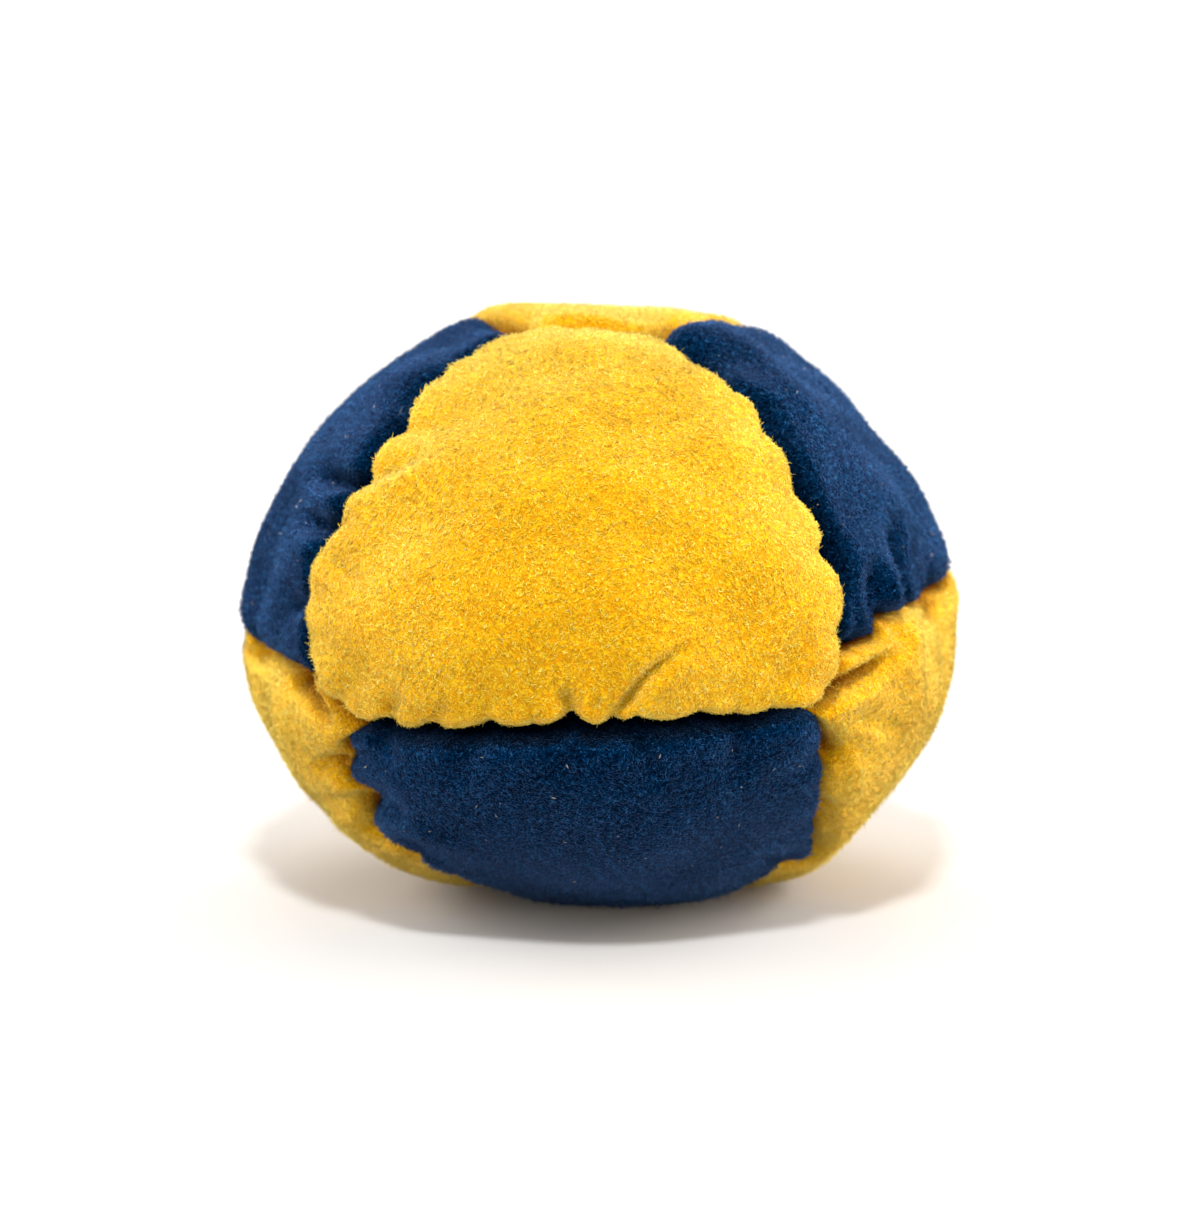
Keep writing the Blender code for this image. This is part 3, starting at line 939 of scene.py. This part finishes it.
def add_panel(sheet, growth, material):
    """The panel's sheet on the filled bag, with the suede's thickness."""
    mesh = sheet.mesh
    placed = grown(sheet.bare, growth, sheet.turned)
    mesh.vertices.foreach_set("co", placed.astype(np.float32).ravel())
    lay_map(mesh, flat_map(sheet))
    mesh.update()
    mesh.shade_smooth()
    panel = add_piece("suede_" + sheet.name, mesh, material, [sheet.name])
    wall = panel.modifiers.new("Suede thickness", "SOLIDIFY")
    wall.thickness = SUEDE_THICKNESS
    wall.offset = -1
    return panel


def combed(roots, outward, draw):
    """Which way each tuft lies along the skin: with its patch, its lock and its own turn."""
    comb = sum(
        np.stack([waves(roots, first + axis, COMB_WAVES, lengths) for axis in range(3)], -1)
        for first, lengths in ((BRUSH_SEED, BRUSH_LENGTHS), (LOCK_SEED, LOCK_LENGTHS))
    )
    comb = unit(comb + draw.normal(scale=COMB_SPREAD, size=comb.shape))
    return comb - (comb * outward).sum(-1)[:, None] * outward


def add_nap(name, panel, material, seed):
    """Short fibres that stand out of the suede, each a thin closed spike."""
    mesh = panel.data
    mesh.calc_loop_triangles()
    corners = read(mesh.loop_triangles, "vertices", 3, np.int32)
    places = read(mesh.vertices, "co", 3).astype(float)
    normals = read(mesh.vertices, "normal", 3).astype(float)
    turned = read(mesh.attributes["turned"].data, "value")
    crease_shade = read(mesh.attributes["crease_shade"].data, "value")
    vert_map = np.empty((len(mesh.vertices), 2))
    loops = read(mesh.loops, "vertex_index", kind=np.int32)
    vert_map[loops] = read(mesh.uv_layers["OFBake"].uv, "vector", 2)

    a, b, c = (places[corners[:, k]] for k in range(3))
    areas = np.linalg.norm(np.cross(b - a, c - a), axis=-1) / 2
    areas[(turned[corners] > 0).any(-1)] = 0
    draw = np.random.RandomState(seed)
    wanted = int(min(MOST_TUFTS, areas.sum() * NAP_DENSITY))
    picked = np.searchsorted(np.cumsum(areas) / areas.sum(), draw.uniform(size=wanted))
    picked = np.minimum(picked, len(corners) - 1)
    shares = draw.dirichlet((1, 1, 1), wanted)
    chosen = corners[picked]

    def at_roots(values):
        weights = shares.reshape(shares.shape + (1,) * (values.ndim - 1))
        return (values[chosen] * weights).sum(1)

    roots = at_roots(places)
    outward = unit(at_roots(normals))
    root_map = at_roots(vert_map)

    comb = combed(roots, outward, draw)
    lean = draw.uniform(*NAP_LEANS, wanted)
    length = NAP_LENGTH * np.exp(draw.normal(scale=NAP_LENGTH_SPREAD, size=wanted))
    width = NAP_WIDTH * draw.uniform(*NAP_WIDTHS, wanted)
    strays = draw.uniform(size=wanted) < STRAY_SHARE
    length = np.where(strays, length * draw.uniform(*STRAY_LENGTHS, wanted), length)
    upright = (outward * unit(roots - BAG_CENTRE)).sum(-1)
    length *= np.interp(upright, *RIM_TRIM)
    width = np.where(strays, width / STRAY_THINNING, width)
    lean = np.where(strays, lean * STRAY_LEAN, lean)
    axis = unit(outward + comb * lean[:, None])
    across = unit(np.cross(axis, outward))
    below = np.cross(across, axis)
    points = np.empty((wanted, TUFT_POINTS, 3))
    maps = np.empty((wanted, TUFT_POINTS, 2))
    half = (width / 2)[:, None]
    waist = roots + axis * (length * TUFT_WAIST)[:, None] + below * half
    points[:, 0] = roots - outward * half
    points[:, 1] = waist + across * half
    points[:, 2] = waist - across * half
    points[:, 3] = roots + axis * length[:, None]
    for k, (right, up) in enumerate(((0, -1), (1, 0), (-1, 0), (0, 1))):
        maps[:, k] = root_map + np.array([right, up]) * NAP_MAP_SIZE
    points[..., 2] = np.maximum(points[..., 2], 0)
    leaf = np.array([(0, 1, 3), (0, 3, 2), (1, 2, 3), (0, 2, 1)])
    faces = (np.arange(wanted)[:, None, None] * TUFT_POINTS + leaf).reshape(-1, 3)
    edges = points[:, 1:] - points[:, :1]
    if np.median((np.cross(edges[:, 0], edges[:, 2]) * edges[:, 1]).sum(-1)) > 0:
        faces = faces[:, ::-1]
    fibres = bpy.data.meshes.new("nap_" + name)
    fibres.from_pydata(points.reshape(-1, 3), [], faces)
    # Tips are marked for their paler colour: painted light on the tips, painted shade at the roots
    mark_points(fibres, "tip", np.tile((0, 0, 0, 1), wanted))
    locks = waves(roots, LOCK_SHADE_SEED, LOCK_SHADE_WAVES, LOCK_LENGTHS) * LOCK_SHADE
    by_tuft = {
        "tone": draw.uniform(size=wanted) + locks,
        "lint": draw.uniform(size=wanted) < LINT_SHARE,
        # The tufts carry the skin's crease share, so the painted crease shade reaches them too
        "crease_shade": at_roots(crease_shade),
    }
    for key, values in by_tuft.items():
        mark_points(fibres, key, np.repeat(values, TUFT_POINTS))
    lay_map(fibres, maps.reshape(-1, 2))
    fibres.shade_smooth()
    normals = np.repeat(outward[:, None], TUFT_POINTS, axis=1)
    normals[:, 1] += across * TUFT_ROUNDING
    normals[:, 2] -= across * TUFT_ROUNDING
    normals[:, 3] += axis * TUFT_ROUNDING
    fibres.normals_split_custom_set_from_vertices(unit(normals).reshape(-1, 3))
    add_piece("nap_" + name, fibres, material)


def add_thread(seam, growth, material):
    """The seam's thread, whipped to and fro through both turned edges."""
    curve = bpy.data.curves.new(seam.thread, "CURVE")
    curve.dimensions = "3D"
    curve.bevel_depth = THREAD_DIAMETER / 2
    curve.bevel_resolution = THREAD_ROUNDING
    curve.use_fill_caps = True
    low, high = THREAD_END, seam.length - THREAD_END
    count = 2 * max(1, round((high - low) / STITCH_PITCH))
    shares = np.linspace(low, high, count + 1) / seam.length
    swing = np.where(np.arange(count + 1) % 2, 1.0, -1.0)
    points = seam.arc(shares)
    points = points + pulled(points) + seam.normal * (swing * THREAD_SWING)[:, None]
    outward = unit(points)
    deep = SEAM_DEPTH + THREAD_SINK + THREAD_CLIMB * (swing + 1) / 2
    if any(seam.lap.values()):
        deep += max(seam.sink_of(name)[0] for name in seam.lap)
    points = grown(outward * (skin_distance(outward) - deep)[:, None], growth)
    points[:, 2] = np.maximum(points[:, 2], THREAD_DIAMETER)
    line = curve.splines.new("POLY")
    line.points.add(len(points) - 1)
    for point, place in zip(line.points, points):
        point.co = (*place, 1)
    route = bpy.data.objects.new(seam.thread, curve)
    mesh = bpy.data.meshes.new_from_object(route)
    bpy.data.objects.remove(route)
    bpy.data.curves.remove(curve)
    mesh.materials.clear()
    add_piece("sewing_" + seam.thread, mesh, material, [seam.thread])


def near_crease(spots):
    """Which spots inside the ball lie so close under a seam that they are in its crease."""
    reach = np.linalg.norm(spots, axis=-1)
    ways = spots / np.maximum(reach, PELLET_SIZE / 10)[:, None]
    shallow = skin_distance(ways) - reach < CREASE_REACH
    beside = np.zeros(len(spots), bool)
    for seam in SEAMS.values():
        along, off = seam.place(ways)
        beside |= (np.abs(off) < CREASE_WIDTH) & (along > 0) & (along < seam.length)
    return shallow & beside


def add_pellets(material):
    """Loose pellets that fill the bag, closely packed and a little out of line."""
    bm = bmesh.new()
    draw = np.random.RandomState(PELLET_SEED)
    inner = HALF_SIZES - FILL_MARGIN - PELLET_SIZE / 2
    lowest = FILL_MARGIN / 2 + PELLET_SIZE / 2 - BAG_CENTRE[2]
    rise = PELLET_SIZE * math.sqrt(2 / 3)
    row = PELLET_SIZE * math.sqrt(3) / 2
    most = math.ceil(HALF_SIZES[0] / rise) + 1
    i, j, k = (axis.ravel() for axis in np.mgrid[-most:most, -most:most, -most:most])
    across = (i + (j % 2) / 2 + (k % 2) / 2) * PELLET_SIZE
    spots = np.stack([across, (j + (k % 2) / 3) * row, k * rise], -1)
    spots = spots[(((spots / inner) ** 2).sum(-1) < 1) & (spots[:, 2] > lowest)]
    for spot in spots[~near_crease(spots)]:
        made = bmesh.ops.create_icosphere(bm, subdivisions=1, radius=PELLET_SIZE / 2)
        flat = Matrix.Diagonal((1, 1, draw.uniform(*PELLET_FLATNESS), 1))
        turn = Euler(draw.uniform(0, math.pi, 3)).to_matrix().to_4x4()
        place = Matrix.Translation(spot + BAG_CENTRE)
        bmesh.ops.transform(bm, matrix=place @ turn @ flat, verts=made["verts"])
    mesh = new_mesh("pellets", bm)
    mesh.shade_smooth()
    add_piece("pellets", mesh, material, ["pellet_fill"])


def linear(code):
    """An sRGB hex colour as linear RGBA."""
    parts = [int(code[k : k + 2], 16) / 255 for k in (1, 3, 5)]
    lit = [p / 12.92 if p <= 0.04045 else ((p + 0.055) / 1.055) ** 2.4 for p in parts]
    return (*lit, 1.0)


def add_node(tree, kind, settings=None, values=None, links=None):
    """A node with its settings, socket values and incoming links."""
    node = tree.nodes.new(kind)
    for key, value in (settings or {}).items():
        setattr(node, key, value)
    for key, value in (values or {}).items():
        node.inputs[key].default_value = value
    for key, source in (links or {}).items():
        tree.links.new(source, node.inputs[key])
    return node


def new_material(name):
    material = bpy.data.materials.new(name)
    material.use_nodes = True
    tree = material.node_tree
    return material, tree, tree.nodes["Principled BSDF"]


# Napped synthetic suede: a brushed microfibre face that scatters light and has no shine.
# Noise at three scales gives clumps of nap, single fibres and brushed patches: size in metres,
# detail and distortion. Each kind of mottle has its share in the colour.
SUEDE_GRAINS = {
    "clumps": (0.00036, 2.0, 1.5),
    "fibres": (0.0002, 1.0, 0.8),
    "brushed": (0.006, 2.0, 0.0),
}
# The tip share keeps the skin between the tufts at the darker colour and pales the tips: partly
# painted shade and light in the pile; the noise and tone shares are random tone
MOTTLE_SHARES = {"clumps": 1.2, "fibres": 0.7, "brushed": 0.3, "tone": 0.4, "tip": 0.6}
MOTTLE_RANGE = (0.95, 2.1)
BODY_PLACE = 0.5
# Depths under the plain skin where the painted crease shade begins and where it is full
CREASE_DEPTHS = (0.0006, 0.0022)
PILE_RELIEF = 0.00022
SUEDE_ROUGHNESS = 0.95
LINT = "#c9bfae"
# The other materials' grain: thread plies, bumps on the pellets and unevenness of the paper
PLY_WIDTH = 0.0006
PLY_RELIEF = 0.0001
PELLET_BUMP_WIDTH = 0.003
PELLET_BUMP_HEIGHT = 0.001
PAPER_GRAIN = 0.025
# Each suede: its colours from the gaps between its fibres to their tips, the painted shade
# of its creases, and the tint, weight and roughness of its sheen
# The gap colours partly paint the shade deep in the pile and the tip colours partly paint light on
# the tips
YELLOW_SUEDE = (("#cc8a04", "#f2ca1c", "#fff283"), "#966630", "#fff08c", 1.1, 0.35)
NAVY_SUEDE = (("#000a1c", "#01325c", "#2a6498"), "#606878", "#86aaf6", 0.45, 0.28)


def suede_material(name, colours, crease, sheen_tint, sheen, sheen_roughness):
    """Suede in three colours, from the gaps between its fibres to their tips.

    The nap's tips catch light at a grazing angle, which pales the panels towards their edges.
    The tips are also painted paler and the gaps between the tufts darker: partly painted light
    and shade in the pile, mixed with random tone.
    Down in the seams and folds the colour takes the crease's darker tint and the sheen fades:
    painted shade where the seams and folds shade the nap.
    """
    material, tree, shader = new_material(name)
    place = add_node(tree, "ShaderNodeTexCoord").outputs["Object"]
    parts = {}
    for key, (size, detail, distortion) in SUEDE_GRAINS.items():
        parts[key] = add_node(
            tree, "ShaderNodeTexNoise",
            values={"Scale": 1 / size, "Detail": detail, "Distortion": distortion},
            links={"Vector": place},
        ).outputs["Fac"]
    for key in ("tone", "tip", "lint", "crease_shade"):
        node = add_node(tree, "ShaderNodeAttribute", {"attribute_name": key})
        parts[key] = node.outputs["Fac"]
    mottle = None
    for key, share in MOTTLE_SHARES.items():
        links = {0: parts[key]} if mottle is None else {0: parts[key], 2: mottle}
        mottle = add_node(
            tree, "ShaderNodeMath", {"operation": "MULTIPLY_ADD"}, {1: share, 2: 0.0}, links
        ).outputs[0]
    level = add_node(
        tree, "ShaderNodeMapRange",
        values={"From Min": MOTTLE_RANGE[0], "From Max": MOTTLE_RANGE[1]}, links={"Value": mottle},
    ).outputs["Result"]
    # Low levels give the gaps between tufts the darkest colour and high ones the tips the palest:
    # partly painted shade and light
    ramp = add_node(tree, "ShaderNodeValToRGB", links={"Fac": level})
    ramp.color_ramp.elements[0].color = linear(colours[0])
    ramp.color_ramp.elements[1].color = linear(colours[2])
    ramp.color_ramp.elements.new(BODY_PLACE).color = linear(colours[1])
    coloured = add_node(
        tree, "ShaderNodeMix", {"data_type": "RGBA"}, {7: linear(LINT)},
        {0: parts["lint"], 6: ramp.outputs["Color"]},
    ).outputs[2]
    # Painted shade: down in the seams and folds the colour is multiplied by the crease's darker
    # tint
    crease_shaded = add_node(
        tree, "ShaderNodeMix", {"data_type": "RGBA", "blend_type": "MULTIPLY"},
        {7: linear(crease)}, {0: parts["crease_shade"], 6: coloured},
    ).outputs[2]
    tree.links.new(crease_shaded, shader.inputs["Base Color"])
    # Less sheen down in the creases, along with the painted shade there
    weight = add_node(
        tree, "ShaderNodeMapRange", values={"To Min": sheen, "To Max": 0.0},
        links={"Value": parts["crease_shade"]},
    ).outputs["Result"]
    tree.links.new(weight, shader.inputs["Sheen Weight"])
    height = add_node(
        tree, "ShaderNodeMath", {"operation": "ADD"}, links={0: parts["clumps"], 1: parts["fibres"]}
    ).outputs[0]
    bump = add_node(
        tree, "ShaderNodeBump", values={"Strength": 1.0, "Distance": PILE_RELIEF},
        links={"Height": height},
    )
    tree.links.new(bump.outputs["Normal"], shader.inputs["Normal"])
    shader.inputs["Roughness"].default_value = SUEDE_ROUGHNESS
    shader.inputs["Specular IOR Level"].default_value = 0.0
    shader.inputs["Sheen Roughness"].default_value = sheen_roughness
    shader.inputs["Sheen Tint"].default_value = linear(sheen_tint)
    return material


def patterned_material(name, kind, settings, values, output, colours, relief, finish):
    """A material in two colours, whose one texture also gives it its relief."""
    material, tree, shader = new_material(name)
    place = add_node(tree, "ShaderNodeTexCoord").outputs["Object"]
    pattern = add_node(tree, kind, settings, values, {"Vector": place}).outputs[output]
    # Where the texture also gives relief, the darker colour lies in its lows: painted shade in the
    # hollows
    ramp = add_node(tree, "ShaderNodeValToRGB", links={"Fac": pattern})
    for element, colour in zip(ramp.color_ramp.elements, colours):
        element.color = linear(colour)
    tree.links.new(ramp.outputs["Color"], shader.inputs["Base Color"])
    if relief:
        bump = add_node(tree, "ShaderNodeBump", *relief, {"Height": pattern})
        tree.links.new(bump.outputs["Normal"], shader.inputs["Normal"])
    for key, value in finish.items():
        shader.inputs[key].default_value = value
    return material


def thread_material():
    """Spun polyester thread: plies show as fine slanting bands with a slight lustre."""
    # The colour follows the relief: darker in the grooves between the plies, as painted shade
    return patterned_material(
        "spun_polyester_thread", "ShaderNodeTexWave", {"bands_direction": "DIAGONAL"},
        {"Scale": 1 / PLY_WIDTH, "Distortion": 1.5, "Detail": 1.0}, "Fac",
        ("#7d786c", "#c9c4b6"), ({}, {"Strength": 0.8, "Distance": PLY_RELIEF}),
        {"Roughness": 0.6},
    )


def pellet_material():
    """Moulded polypropylene pellets: milky, with round bumps a pellet across."""
    # The colour follows the relief: lighter on each bump, greyer in the hollows between them, as
    # painted shade
    return patterned_material(
        "moulded_polypropylene_pellets", "ShaderNodeTexVoronoi", {"feature": "F1"},
        {"Scale": 1 / PELLET_BUMP_WIDTH}, "Distance",
        ("#e9e8e2", "#8f8d86"),
        ({"invert": True}, {"Strength": 1.0, "Distance": PELLET_BUMP_HEIGHT}),
        {"Roughness": 0.35},
    )


def floor_material():
    """Plain white paper sweep with the faintest unevenness."""
    return patterned_material(
        "white_paper_sweep", "ShaderNodeTexNoise", {}, {"Scale": 1 / PAPER_GRAIN, "Detail": 2.0},
        "Fac", ("#b0b0b0", "#b3b3b3"), None, {"Roughness": 0.8, "Specular IOR Level": 0.2},
    )


def add_floor():
    bm = bmesh.new()
    bmesh.ops.create_grid(bm, x_segments=1, y_segments=1, size=FLOOR_SIZE / 2)
    mesh = new_mesh("floor", bm)
    mesh.materials.append(floor_material())
    new_object("floor", mesh)


def add_camera():
    data = bpy.data.cameras.new("camera")
    data.sensor_width = SENSOR_WIDTH
    data.lens = FOCAL_PIXELS * SENSOR_WIDTH / FRAME_HEIGHT
    data.clip_start = NEAREST_VIEW
    data.dof.use_dof = True
    data.dof.focus_distance = FOCUS_DISTANCE
    data.dof.aperture_fstop = APERTURE
    data.shift_x = (FRAME_WIDTH / 2 - BAG_CENTRE_PIXEL[0]) / FRAME_HEIGHT
    data.shift_y = (BAG_CENTRE_PIXEL[1] - FRAME_HEIGHT / 2) / FRAME_HEIGHT
    camera = new_object("camera", data)
    camera.location = CAMERA_PLACE
    camera.rotation_euler = (math.pi / 2 - CAMERA_ELEVATION, 0, 0)
    bpy.context.scene.camera = camera


def add_light(name, place, size, power, colour):
    """A square soft box that faces the middle of the ball."""
    data = bpy.data.lights.new(name, "AREA")
    data.shape = "SQUARE"
    data.size = size
    data.energy = power
    data.color = linear(colour)[:3]
    light = new_object(name, data)
    light.location = place
    light.rotation_euler = Vector(place - BAG_CENTRE).to_track_quat("Z", "Y").to_euler()


def add_lights():
    world = bpy.data.worlds.new("pale_studio")
    world.use_nodes = True
    background = world.node_tree.nodes["Background"]
    background.inputs["Color"].default_value = (1, 1, 1, 1)
    background.inputs["Strength"].default_value = FILL_STRENGTH
    bpy.context.scene.world = world
    for name, way, size, power, colour in SOFTBOXES:
        add_light(name, BAG_CENTRE + unit(way) * SOFTBOX_DISTANCE, size, power, colour)


def dress_bag():
    yellow = suede_material("yellow_microfibre_suede", *YELLOW_SUEDE)
    navy = suede_material("navy_microfibre_suede", *NAVY_SUEDE)
    sheets = [Sheet(name) for name in PANELS]
    growth = fitted_growth(np.concatenate([sheet.bare for sheet in sheets]))
    for seed, sheet in enumerate(sheets):
        material = yellow if sheet.name in YELLOW_PANELS else navy
        panel = add_panel(sheet, growth, material)
        add_nap(sheet.name, panel, material, NAP_SEED + seed)
    thread = thread_material()
    for seam in SEAMS.values():
        add_thread(seam, growth, thread)
    add_pellets(pellet_material())


bpy.context.scene.view_settings.view_transform = "Standard"
add_camera()
add_floor()
add_lights()
dress_bag()
